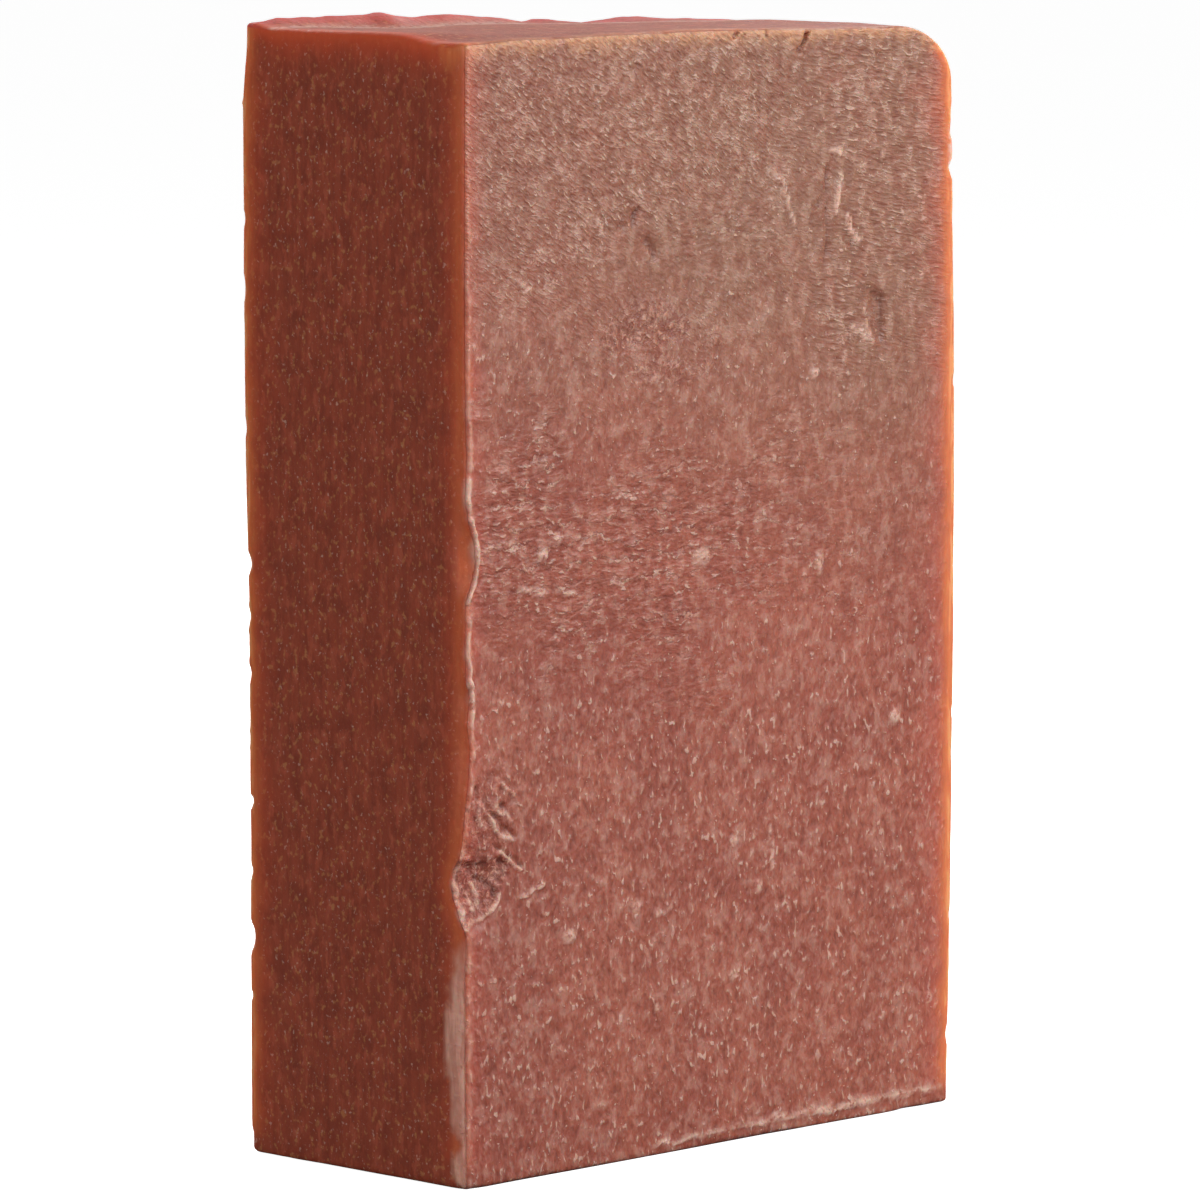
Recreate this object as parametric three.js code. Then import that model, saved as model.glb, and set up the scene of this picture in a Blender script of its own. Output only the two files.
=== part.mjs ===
// A bar of red clay soap, cast in a loaf, cut by wire and standing on one narrow end.
// Millimetres. X runs across the wide cut faces, -Y points out of the front one, +Z is up.
// The bar is one solid cake: it has no shell, no insert and nothing that moves.

import * as THREE from "three";
import { mergeVertices } from "three/addons/utils/BufferGeometryUtils.js";

// Driving dimensions: a 3.5 x 2.2 x 1 inch hand-cut bar. HEIGHT takes in the raised lip, WIDTH the
// bulging side, and THICKNESS the swollen back.
const WIDTH = 56.6;
const THICKNESS = 25.6;
const HEIGHT = 90.4;

const EDGE_WEAR = 0.9; // radius that handling has worn onto every edge
const CORNER = { reach: 5.6, drop: 4.6 }; // the one rounded corner: how far along X, and down Z
const LIP = { height: 1.4, foot: 6, crest: 11.5, full: -10, gone: 3 }; // raised back left of the top end
const TOP_SLOPE = 0.35; // how far the top end falls towards its back right corner
const SIDE_BOW = 0.7; // how far the right side bulges at half height
const BEVEL = { depth: 0.35, from: 34, to: 14 }; // extra wear low down on the front left edge
const GOUGE = { depth: 0.9, reach: 7, bottom: 20.5, top: 33 }; // the chip in that same edge
const GRID_STEP = 4; // between the mesh's lines on the open faces

const HALF_WIDTH = WIDTH / 2;
const HALF_THICKNESS = THICKNESS / 2;
const END_PLANE = HEIGHT - LIP.height;

/** 0 below `from`, 1 above `to`, with a smooth rise between; `from` may be the larger one. */
function rise(value, from, to) {
  const share = THREE.MathUtils.clamp((value - from) / (to - from), 0, 1);
  return share * share * (3 - 2 * share);
}

/** Mesh lines from low to high: three close ones in each worn edge, even ones between. */
function gridLines(low, high, cornerSpan = 0) {
  const wear = [0, 0.5 * EDGE_WEAR];
  const lines = wear.map((inset) => low + inset);
  const start = low + EDGE_WEAR;
  const end = high - Math.max(EDGE_WEAR, cornerSpan);
  const count = Math.round((end - start) / GRID_STEP);
  for (let i = 0; i <= count; i += 1) {
    lines.push(THREE.MathUtils.lerp(start, end, i / count));
  }
  if (cornerSpan > 0) {
    for (const share of [0.3, 0.58, 0.84]) lines.push(high - cornerSpan * (1 - share));
  }
  return lines.concat(wear.reverse().map((inset) => high - inset));
}

/** A closed grid box whose shared vertices are merged, with its lines at the given places. */
function gridBox(xLines, yLines, zLines) {
  const counts = [xLines, yLines, zLines].map((lines) => lines.length - 1);
  let box = new THREE.BoxGeometry(1, 1, 1, ...counts);
  box.deleteAttribute("normal");
  box.deleteAttribute("uv");
  box = mergeVertices(box);
  const place = (lines, unit) => lines[Math.round((unit + 0.5) * (lines.length - 1))];
  const corners = box.attributes.position;
  for (let i = 0; i < corners.count; i += 1) {
    const x = place(xLines, corners.getX(i));
    const y = place(yLines, corners.getY(i));
    corners.setXYZ(i, x, y, place(zLines, corners.getZ(i)));
  }
  return box;
}

/** Rounds every edge and corner of the box to the radius that wear has given it. */
function wearEdges(point) {
  const low = new THREE.Vector3(-HALF_WIDTH, -HALF_THICKNESS, 0).addScalar(EDGE_WEAR);
  const high = new THREE.Vector3(HALF_WIDTH, HALF_THICKNESS, END_PLANE).addScalar(-EDGE_WEAR);
  const core = point.clone().clamp(low, high);
  const out = point.clone().sub(core);
  if (out.lengthSq() > 0) point.copy(core).addScaledVector(out.normalize(), EDGE_WEAR);
}

/** Rounds off the upper right corner, right through the thickness. */
function roundCorner(point) {
  const across = (point.x - (HALF_WIDTH - CORNER.reach)) / CORNER.reach;
  const up = (point.z - (END_PLANE - CORNER.drop)) / CORNER.drop;
  if (across <= 0 || up <= 0) return;
  const pull = Math.max(across, up) / Math.hypot(across, up);
  point.x += across * (pull - 1) * CORNER.reach;
  point.z += up * (pull - 1) * CORNER.drop;
}

/** Raises the lip at the back left of the top end, and lets the end fall to the right. */
function shapeTopEnd(point) {
  const lip = rise(point.y, LIP.foot, LIP.crest) * rise(point.x, LIP.gone, LIP.full);
  const slope = rise(point.x, -4, HALF_WIDTH) * rise(point.y, -6, HALF_THICKNESS);
  const nearTop = rise(point.z, END_PLANE - 8, END_PLANE - EDGE_WEAR);
  point.z += (LIP.height * lip - TOP_SLOPE * slope) * nearTop;
}

/** Lets the right side stand out a little at half height. */
function bowRightSide(point) {
  const belly = Math.sin(Math.PI * THREE.MathUtils.clamp(point.z / END_PLANE, 0, 1));
  point.x -= SIDE_BOW * (1 - belly) * rise(point.x, 0, HALF_WIDTH);
}

/** Wears the lower front left edge back, and breaks a shallow chip out above that. */
function chipFrontLeftEdge(point) {
  const toEdge = rise(point.x, -HALF_WIDTH + GOUGE.reach, -HALF_WIDTH + 1);
  const toFront = rise(point.y, -HALF_THICKNESS + 3, -HALF_THICKNESS);
  const along = (point.z - GOUGE.bottom) / (GOUGE.top - GOUGE.bottom);
  const hollow = along > 0 && along < 1 ? Math.sin(Math.PI * along) : 0;
  const worn = rise(point.x, -HALF_WIDTH + 2, -HALF_WIDTH) * rise(point.z, BEVEL.from, BEVEL.to);
  point.y += (GOUGE.depth * hollow * toEdge + BEVEL.depth * worn) * toFront;
}

/** Fits the finished shape exactly into its stated box, on its foot and centred. */
function fitToBox(geometry) {
  geometry.computeBoundingBox();
  const size = geometry.boundingBox.getSize(new THREE.Vector3());
  const centre = geometry.boundingBox.getCenter(new THREE.Vector3());
  geometry.translate(-centre.x, -centre.y, -geometry.boundingBox.min.z);
  geometry.scale(WIDTH / size.x, THICKNESS / size.y, HEIGHT / size.z);
}

function barGeometry() {
  const xLines = gridLines(-HALF_WIDTH, HALF_WIDTH, CORNER.reach);
  const yLines = gridLines(-HALF_THICKNESS, HALF_THICKNESS);
  const zLines = gridLines(0, END_PLANE, CORNER.drop);
  const geometry = gridBox(xLines, yLines, zLines);
  const corners = geometry.attributes.position;
  const point = new THREE.Vector3();
  for (let i = 0; i < corners.count; i += 1) {
    point.fromBufferAttribute(corners, i);
    wearEdges(point);
    roundCorner(point);
    shapeTopEnd(point);
    bowRightSide(point);
    chipFrontLeftEdge(point);
    corners.setXYZ(i, point.x, point.y, point.z);
  }
  fitToBox(geometry);
  geometry.computeVertexNormals();
  return geometry;
}

const claySoap = new THREE.MeshStandardMaterial({ color: 0x9c6152, roughness: 0.5, metalness: 0 });

const bar = new THREE.Mesh(barGeometry(), claySoap);
bar.name = "clay_bar";

const group = new THREE.Group();
group.add(bar);

export default group;
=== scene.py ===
"""A hand-cut bar of red clay soap, standing on one narrow end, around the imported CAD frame."""

import math
from functools import reduce
from types import SimpleNamespace

import bmesh
import bpy
import numpy as np
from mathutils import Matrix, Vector


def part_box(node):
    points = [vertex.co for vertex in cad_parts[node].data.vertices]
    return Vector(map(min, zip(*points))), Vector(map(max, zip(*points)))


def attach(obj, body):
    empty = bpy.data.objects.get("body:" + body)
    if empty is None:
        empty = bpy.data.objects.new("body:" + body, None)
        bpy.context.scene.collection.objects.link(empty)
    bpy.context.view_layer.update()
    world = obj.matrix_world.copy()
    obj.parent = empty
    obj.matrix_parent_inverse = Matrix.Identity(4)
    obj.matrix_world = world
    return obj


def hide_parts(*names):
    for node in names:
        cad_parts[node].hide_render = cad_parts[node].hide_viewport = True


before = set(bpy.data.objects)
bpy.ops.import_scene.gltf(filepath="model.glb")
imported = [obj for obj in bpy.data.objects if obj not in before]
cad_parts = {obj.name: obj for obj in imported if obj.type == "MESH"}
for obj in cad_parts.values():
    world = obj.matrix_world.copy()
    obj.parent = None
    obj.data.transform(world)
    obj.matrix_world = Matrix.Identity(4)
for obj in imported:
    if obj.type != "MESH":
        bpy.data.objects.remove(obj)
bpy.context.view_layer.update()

# All lengths below are millimetres in the CAD frame: x across the wide cut faces, -y out of the
# front one, z up. MM turns them into Blender's metres.
MM = 0.001
LOW, HIGH = (np.array(corner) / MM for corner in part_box("clay_bar"))
HALF_WIDTH = (HIGH[0] - LOW[0]) / 2
HALF_THICKNESS = (HIGH[1] - LOW[1]) / 2
HEIGHT = HIGH[2]
LIP = 1.4  # how far the ridge at the back of the top end stands above the rest of it
END_PLANE = HEIGHT - LIP
ON_FACE = 0.01  # a mesh point this near to a face of the plain box counts as on that face
X, Y, Z = 0, 1, 2

# Angles in degrees; the lens and where it aims, away from the bar's middle, in millimetres.
CAMERA = {"azimuth": -45.5, "elevation": 6.5, "distance": 641.7, "lens": 238.6, "aim": (-0.56, -1.49)}
SEED = 7


# ---------------------------------------------------------------- shaping helpers


def rise(value, start, end):
    """0 before start, 1 after end, with a smooth rise between; start may be the larger one."""
    share = np.clip((value - start) / (end - start), 0, 1)
    return share * share * (3 - 2 * share)


def mix(a, b, share):
    return a + (b - a) * share


def lattice(column, row, seed):
    """A fixed random number from -1 to 1 for each whole-number place."""
    code = (column * 374761393 + row * 668265263 + (seed + SEED) * 974634777) & 0xFFFFFFFF
    code = ((code ^ (code >> 13)) * 1274126177) & 0xFFFFFFFF
    return ((code ^ (code >> 16)) & 0xFFFF) / 32767.5 - 1


def noise(u, v, seed):
    """Smooth noise from -1 to 1, about one bump to a unit square; each seed gives its own."""
    column, row = np.floor(u).astype(np.int64), np.floor(v).astype(np.int64)
    across, up = rise(u - column, 0, 1), rise(v - row, 0, 1)
    low = mix(lattice(column, row, seed), lattice(column + 1, row, seed), across)
    high = mix(lattice(column, row + 1, seed), lattice(column + 1, row + 1, seed), across)
    return mix(low, high, up)


def rough(u, v, seed):
    """Noise with finer and fainter noise added to it."""
    total = sum(noise(u * 2**i + 17 * i, v * 2**i, seed + i) / 2**i for i in range(3))
    return total / 1.5


def grain(u, v, tilt, along, across, seed):
    """Noise drawn out along a direction tilted from u by tilt degrees."""
    turn = math.radians(tilt)
    s = u * math.cos(turn) + v * math.sin(turn)
    t = -u * math.sin(turn) + v * math.cos(turn)
    return 0.7 * noise(s / along, t / across, seed) + 0.3 * noise(
        2.3 * s / along, 2.1 * t / across, seed + 1
    )


def spot(u, v, centre, reach, tilt=0, power=1.0):
    """1 at centre, 0 outside an ellipse of the two half-lengths in reach."""
    turn = math.radians(tilt)
    du, dv = u - centre[0], v - centre[1]
    s = (du * math.cos(turn) + dv * math.sin(turn)) / reach[0]
    t = (-du * math.sin(turn) + dv * math.cos(turn)) / reach[1]
    return np.clip(1 - s * s - t * t, 0, 1) ** power


def line_distance(u, v, points):
    """The distance from each place to a line through the points."""
    nearest = np.full(np.shape(u), np.inf)
    for (u0, v0), (u1, v1) in zip(points, points[1:]):
        du, dv = u1 - u0, v1 - v0
        share = np.clip(((u - u0) * du + (v - v0) * dv) / (du * du + dv * dv), 0, 1)
        nearest = np.minimum(nearest, np.hypot(u - u0 - share * du, v - v0 - share * dv))
    return nearest


def patch(u, v, outline, soft):
    """1 inside a closed outline, 0 outside it, with a border soft wide."""
    inside = np.zeros(np.shape(u), bool)
    closed = list(outline) + [outline[0]]
    for (u0, v0), (u1, v1) in zip(closed, closed[1:]):
        crosses = (v0 > v) != (v1 > v)
        at = u0 + (v - v0) * (u1 - u0) / (v1 - v0 if v1 != v0 else 1)
        inside ^= crosses & (u < at)
    away = line_distance(u, v, closed) * np.where(inside, 1, -1)
    return rise(away, -soft / 2, soft / 2)


# ---------------------------------------------------------------- camera, lights and floor


def direction(azimuth, elevation):
    """The unit vector towards a place seen at that azimuth and elevation, in degrees."""
    a, e = math.radians(azimuth), math.radians(elevation)
    return Vector((math.sin(a) * math.cos(e), -math.cos(a) * math.cos(e), math.sin(e)))


def add_camera():
    back = direction(CAMERA["azimuth"], CAMERA["elevation"])
    right = Vector((0, 0, 1)).cross(back).normalized()
    up = back.cross(right)
    aim = Vector((0, 0, END_PLANE / 2)) + right * CAMERA["aim"][0] + up * CAMERA["aim"][1]
    data = bpy.data.cameras.new("camera")
    data.lens = CAMERA["lens"]
    data.sensor_width = 36
    data.clip_end = 20
    camera = bpy.data.objects.new("camera", data)
    camera.location = (aim + back * CAMERA["distance"]) * MM
    camera.rotation_euler = back.to_track_quat("Z", "Y").to_euler()
    bpy.context.scene.collection.objects.link(camera)
    bpy.context.scene.camera = camera


def add_softbox(name, azimuth, elevation, distance, size, watts):
    """A rectangular soft light, aimed at the middle of the bar."""
    middle = Vector((0, 0, HEIGHT / 2))
    towards = direction(azimuth, elevation)
    data = bpy.data.lights.new(name, "AREA")
    data.shape = "RECTANGLE"
    data.size, data.size_y = size[0] * MM, size[1] * MM
    data.energy = watts
    light = bpy.data.objects.new(name, data)
    light.location = (middle + towards * distance) * MM
    light.rotation_euler = towards.to_track_quat("Z", "Y").to_euler()
    bpy.context.scene.collection.objects.link(light)


# Each softbox is (name, azimuth, elevation, distance, width and height, watts).
SOFTBOXES = (
    ("key_light", 26, 27, 500, (360, 360), 2.55),
    ("left_fill", -76, 12, 620, (420, 420), 1.33),
    ("right_light", 112, 14, 480, (240, 420), 1.7),
    ("back_light", 163, 16, 480, (240, 420), 1.9),
)
STUDIO_LIGHT = 0.09  # what the white studio throws on the bar, when its looks are 1
TABLE_SIDE = 6000
TABLE_GREY = 0.13  # how much of the light the table throws back at the bar


def add_world():
    """A white studio: white to the camera, and a dimmer grey where it lights the bar."""
    world = bpy.data.worlds.new("studio")
    world.use_nodes = True
    nodes, links = world.node_tree.nodes, world.node_tree.links
    nodes.clear()
    seen = nodes.new("ShaderNodeBackground")
    seen.inputs["Color"].default_value = (1, 1, 1, 1)
    seen.inputs["Strength"].default_value = 1.0
    lit = nodes.new("ShaderNodeBackground")
    lit.inputs["Color"].default_value = (1, 1, 1, 1)
    lit.inputs["Strength"].default_value = STUDIO_LIGHT
    path = nodes.new("ShaderNodeLightPath")
    choose = nodes.new("ShaderNodeMixShader")
    out = nodes.new("ShaderNodeOutputWorld")
    links.new(path.outputs["Is Camera Ray"], choose.inputs["Fac"])
    links.new(lit.outputs["Background"], choose.inputs[1])
    links.new(seen.outputs["Background"], choose.inputs[2])
    links.new(choose.outputs["Shader"], out.inputs["Surface"])
    bpy.context.scene.world = world


def add_floor():
    """A plain white table top, which throws less light up at the bar than it shows the camera."""
    side = TABLE_SIDE * MM
    mesh = bpy.data.meshes.new("floor")
    corners = [(-side, -side, 0), (side, -side, 0), (side, side, 0), (-side, side, 0)]
    mesh.from_pydata(corners, [], [(0, 1, 2, 3)])
    floor = bpy.data.objects.new("floor", mesh)
    material = bpy.data.materials.new("white_table")
    material.use_nodes = True
    nodes, links = material.node_tree.nodes, material.node_tree.links
    seen = nodes["Principled BSDF"]
    seen.inputs["Base Color"].default_value = (0.9, 0.9, 0.9, 1)
    seen.inputs["Roughness"].default_value = 0.7
    seen.inputs["Emission Color"].default_value = (1, 1, 1, 1)
    seen.inputs["Emission Strength"].default_value = 0.9
    lit = nodes.new("ShaderNodeBsdfDiffuse")
    lit.inputs["Color"].default_value = (TABLE_GREY, TABLE_GREY, TABLE_GREY, 1)
    path = nodes.new("ShaderNodeLightPath")
    choose = nodes.new("ShaderNodeMixShader")
    links.new(path.outputs["Is Camera Ray"], choose.inputs["Fac"])
    links.new(lit.outputs["BSDF"], choose.inputs[1])
    links.new(seen.outputs["BSDF"], choose.inputs[2])
    links.new(choose.outputs["Shader"], nodes["Material Output"].inputs["Surface"])
    mesh.materials.append(material)
    bpy.context.scene.collection.objects.link(floor)


# ---------------------------------------------------------------- the bar's mesh

COARSE = 0.67  # spacing of the mesh lines before the front face is made finer
WEAR_LINES = (0, 0.18, 0.4, 0.7, 1.1)  # where the lines close to an edge lie, in from it


def grid_lines(low, high):
    """Mesh lines from low to high, closer together at the worn edges."""
    start, end = low + WEAR_LINES[-1], high - WEAR_LINES[-1]
    count = round((end - start) / COARSE)
    even = np.linspace(start, end, count + 1)[1:-1]
    wear = np.array(WEAR_LINES)
    return np.concatenate([low + wear, even, (high - wear)[::-1]])


def grid_box():
    """A closed box of quads, as a bmesh, with its lines where grid_lines puts them."""
    xs = grid_lines(-HALF_WIDTH, HALF_WIDTH)
    ys = grid_lines(-HALF_THICKNESS, HALF_THICKNESS)
    zs = grid_lines(0, END_PLANE)
    bm = bmesh.new()
    made = {}

    def corner(i, j, k):
        if (i, j, k) not in made:
            made[i, j, k] = bm.verts.new((xs[i], ys[j], zs[k]))
        return made[i, j, k]

    def side(counts, place, flip):
        for a in range(counts[0]):
            for b in range(counts[1]):
                quad = [place(a, b), place(a + 1, b), place(a + 1, b + 1), place(a, b + 1)]
                bm.faces.new([corner(*lines) for lines in (quad[::-1] if flip else quad)])

    nx, ny, nz = len(xs) - 1, len(ys) - 1, len(zs) - 1
    for end, flip in ((0, True), (nz, False)):
        side((nx, ny), lambda a, b: (a, b, end), flip)
    for end, flip in ((0, False), (ny, True)):
        side((nx, nz), lambda a, b: (a, end, b), flip)
    for end, flip in ((0, True), (nx, False)):
        side((ny, nz), lambda a, b: (end, a, b), flip)
    return bm


def refine(bm, wanted):
    """Halves the mesh's spacing in the faces whose middle point is wanted."""
    faces = [f for f in bm.faces if wanted(f.calc_center_median())]
    edges = list({e for f in faces for e in f.edges})
    bmesh.ops.subdivide_edges(bm, edges=edges, cuts=1, use_grid_fill=True)


def on_front(centre):
    return centre.y < -HALF_THICKNESS + ON_FACE


def near_front_left_edge(centre):
    reach = 9 if 19 < centre.z < 35 else 1.6  # wider beside the chip
    return centre.x < -HALF_WIDTH + reach and centre.y < -HALF_THICKNESS + 1.2


def near_back_left_edge(centre):
    return centre.x < -HALF_WIDTH + 0.8 and centre.y > HALF_THICKNESS - 1.2


def near_top_cracks(centre):
    return on_front(centre) and centre.z > END_PLANE - 2.6 and 1 < centre.x < 12


# ---------------------------------------------------------------- the bar's shape

# The front left edge from the top down: its height, how sharp it is (the radius worn onto it), how
# far it is drawn in along x, how far it is broken back along y, and how strongly a burr of soap
# stands on it.
RADIUS, INSET, BROKEN, BURR = 1, 2, 3, 4
FRONT_LEFT_EDGE = (
    (88, 0.6, 0.1, 0, 0.1),
    (72, 0.5, 0, 0, 0.25),
    (62, 0.45, 0.05, 0, 0.3),
    (57, 0.4, 0.2, 0, 0.4),
    (55.5, 0.35, 0.1, 0, 0.8),
    (54, 0.35, 0.05, 0, 1),
    (52, 0.3, 0.4, 0, 1),
    (50.5, 0.3, 1.0, 0, 1),
    (49, 0.3, 1.2, 0, 0.95),
    (47.5, 0.3, 0.75, 0, 0.8),
    (46, 0.3, 0.05, 0, 0.75),
    (43, 0.35, 0, 0, 0.7),
    (40, 0.35, 0.05, 0, 0.9),
    (38.5, 0.35, 0.5, 0, 1),
    (36.5, 0.35, 0.2, 0, 0.9),
    (34.5, 0.35, 0.55, 0.05, 0.95),
    (32.5, 0.35, 0.5, 0.1, 0.8),
    (31, 0.35, 0.3, 0.15, 0.6),
    (28.5, 0.35, 0.15, 0.35, 0.35),
    (27, 0.35, 0.1, 0.5, 0.3),
    (26, 0.3, 0.05, 0.8, 0.6),
    (25.2, 0.25, 0, 1.35, 1.2),
    (24, 0.25, 0, 1.65, 1.6),
    (23, 0.25, 0, 1.5, 1.7),
    (22, 0.25, 0, 1.05, 1.7),
    (21, 0.25, 0, 0.55, 1.6),
    (20.2, 0.25, 0.1, 0.15, 0.9),
    (18.8, 0.4, 0.25, 0.2, 0.3),
    (17, 0.5, 0.15, 0.3, 0.35),
    (9, 0.5, 0.2, 0.35, 0.3),
    (1, 0.5, 0.25, 0.3, 0.2),
)


def along_edge(z, column):
    """What that column of FRONT_LEFT_EDGE says at height z."""
    table = np.array(FRONT_LEFT_EDGE[::-1], float).T
    return np.interp(z, table[0], table[column])


def edge_radius(x, y, z):
    """How far wear has rounded the edges, unevenly. Two upright ones are sharper than the others,
    and the front left one has its own figures."""
    uneven = noise(x / 5 + y / 4, z / 5, 1)
    radius = mix(0.52 + 0.14 * uneven, 0.34 + 0.08 * uneven, rise(-x * y, 60, 240))
    own = rise(x, -20, -26) * rise(y, -4, -10)
    return mix(radius, along_edge(z, RADIUS), own)


def wear_edges(points):
    """Rounds the box's edges. Returns the new places and the directions facing out of them."""
    radius = edge_radius(points[:, 0], points[:, 1], points[:, 2])[:, None]
    low = np.array([-HALF_WIDTH, -HALF_THICKNESS, 0]) + radius
    high = np.array([HALF_WIDTH, HALF_THICKNESS, END_PLANE]) - radius
    core = np.clip(points, low, high)
    out = points - core
    out /= np.linalg.norm(out, axis=1)[:, None]
    return core + out * radius, out


CORNER_REACH, CORNER_DROP = 6.3, 4.8  # how far along x, and down z


def round_corner(points):
    """Rounds off the upper right corner, right through the thickness."""
    across = np.maximum((points[:, 0] - (HALF_WIDTH - CORNER_REACH)) / CORNER_REACH, 0)
    up = np.maximum((points[:, 2] - (END_PLANE - CORNER_DROP)) / CORNER_DROP, 0)
    both = (across > 0) & (up > 0)
    pull = np.ones(len(points))
    pull[both] = np.maximum(across, up)[both] / np.hypot(across, up)[both]
    points[:, 0] += across * (pull - 1) * CORNER_REACH
    points[:, 2] += up * (pull - 1) * CORNER_DROP


# The ridge along the back of the top end: its height above END_PLANE at places along x.
RIDGE_CREST = (
    (-28.3, 0.95), (-25.3, 1.12), (-22.3, 1.2), (-16.3, 1.2), (-13.9, 1.32), (-13, 1.16),
    (-11.6, 0.92), (-10.2, 0.8), (-8.3, 0.86), (-6.1, 0.93), (-3.3, 0.77), (0.8, 0.35),
    (2.2, 0.08), (3.7, 0.28), (4.9, 0.1), (8.4, -0.22), (11.8, 0), (14.6, 0.2),
    (18.7, -0.18), (21.7, -0.12), (25.7, -0.18), (27.7, -0.5),
)  # fmt: skip
# Where the front of that ridge rises from the end: y at places along x.
RIDGE_FOOT = (
    (-28.3, 9.5), (-20.3, 9.6), (-17.3, 9.2), (-14.7, 7.8), (-8.3, 9.8), (-2.3, 9.8), (9.7, 6), (28, 0),
)  # fmt: skip


def ridge_share(x, y):
    """0 in front of the ridge's foot, 1 on its crest."""
    foot = np.interp(x, *np.array(RIDGE_FOOT).T)
    return rise(y, foot, np.minimum(foot + 4, HALF_THICKNESS - 0.4))


def top_end(x, y):
    """Height of the top end above END_PLANE: a step at its left, the ridge at its back, and a front
    edge that falls to the right."""
    at, lift = np.array(RIDGE_CREST).T
    crest = sum(np.interp(x + shift, at, lift) for shift in (-0.5, 0, 0.5)) / 3
    step = rise(y + 0.25 * x, -16.5, -11.5) * mix(0.18, 0.55, rise(x, -14, -27)) * rise(x, 6, -6)
    ridge = ridge_share(x, y)
    lumps = 0.09 * noise(x / 1.4, y / 1.6, 3) * ridge
    front = mix(0.2, -0.12, rise(x, 2, 20)) * rise(y, -6, -12) * rise(x, -27.5, -22)
    return mix(step, crest, ridge) + lumps + front


def shape_top_end(points):
    """Lifts everything near the top end by that end's height there."""
    near_top = rise(points[:, 2], END_PLANE - 6, END_PLANE - 1.2)
    points[:, 2] += top_end(points[:, 0], points[:, 1]) * near_top


SIDE_BOW = 0.7  # how far the right side bulges at half height
LOW_HOLLOW, TOP_HOLLOW = 0.45, 0.5  # how far the back left edge is drawn in


def bow_sides(points):
    """Bellies the right side out, and draws the back left edge in, low down and at its top."""
    z = points[:, 2]
    belly = np.sin(np.pi * np.clip(z / END_PLANE, 0, 1))
    points[:, 0] -= SIDE_BOW * (1 - belly) * rise(points[:, 0], 0, HALF_WIDTH)
    hollow = LOW_HOLLOW * rise(z, 70, 34) + TOP_HOLLOW * rise(z, END_PLANE - 6, END_PLANE)
    points[:, 1] -= hollow * rise(points[:, 1], 4, HALF_THICKNESS) * rise(points[:, 0], 0, -HALF_WIDTH)


# ---------------------------------------------------------------- marks on the front face

# Each line of a mark is (points, half width, height): a ridge stands up, a scratch goes in.
CHIP_RIDGES = (
    ([(-26.3, 29.8), (-25.5, 28.7), (-24.5, 27.8), (-23.3, 27)], 0.3, 0.2),
    ([(-24.5, 26.3), (-23.7, 25.8), (-23, 25.1), (-22.2, 24.7)], 0.22, 0.2),
    ([(-24.2, 31.5), (-23.7, 31), (-23.1, 30.5)], 0.24, 0.15),
    ([(-25.2, 29.9), (-24.7, 29.4), (-23.9, 29.2), (-23.2, 28.6)], 0.34, 0.18),
    ([(-26.7, 30.4), (-26.9, 29.4), (-26.5, 28.4)], 0.26, 0.14),
    ([(-28.3, 20.3), (-26.5, 21.2), (-25.2, 22), (-24.6, 22.8)], 0.24, 0.14),
    ([(-22, 22.5), (-21.1, 22.8), (-20.5, 22.8), (-19.6, 23.2)], 0.22, 0.18),
    ([(-26.7, 23.9), (-26.2, 22.9), (-26.3, 22.4)], 0.26, 0.2),
    ([(-27.2, 22.6), (-26.9, 21.9)], 0.22, 0.16),
)
CHIP_GROOVES = (
    ([(-25.9, 29.6), (-24.9, 28.9), (-23.9, 28), (-23.1, 27.2)], 0.36, -0.26),
    ([(-25.2, 26.9), (-23.8, 26.1), (-22.6, 25.5), (-22.1, 25)], 0.32, -0.26),
    ([(-27.2, 31.4), (-26.9, 30.8)], 0.4, -0.24),
    ([(-26.2, 30.3), (-25.9, 29.9)], 0.36, -0.22),
    ([(-24.4, 30.1), (-24.2, 29.9)], 0.34, -0.28),
    ([(-26.3, 24.2), (-25.1, 23.8), (-24.9, 23)], 0.5, -0.24),
    ([(-24.5, 25.5), (-23.8, 25)], 0.5, -0.22),
)
CHIP_HOLLOW = (
    (-29.3, 26.2), (-27.7, 26.1), (-25.6, 25.6), (-23.9, 26), (-23.2, 25.2), (-24.3, 23.6),
    (-24.6, 22.8), (-25.3, 22), (-26.6, 21.2), (-28.3, 20.1), (-29.3, 20.1),
)  # fmt: skip
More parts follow.
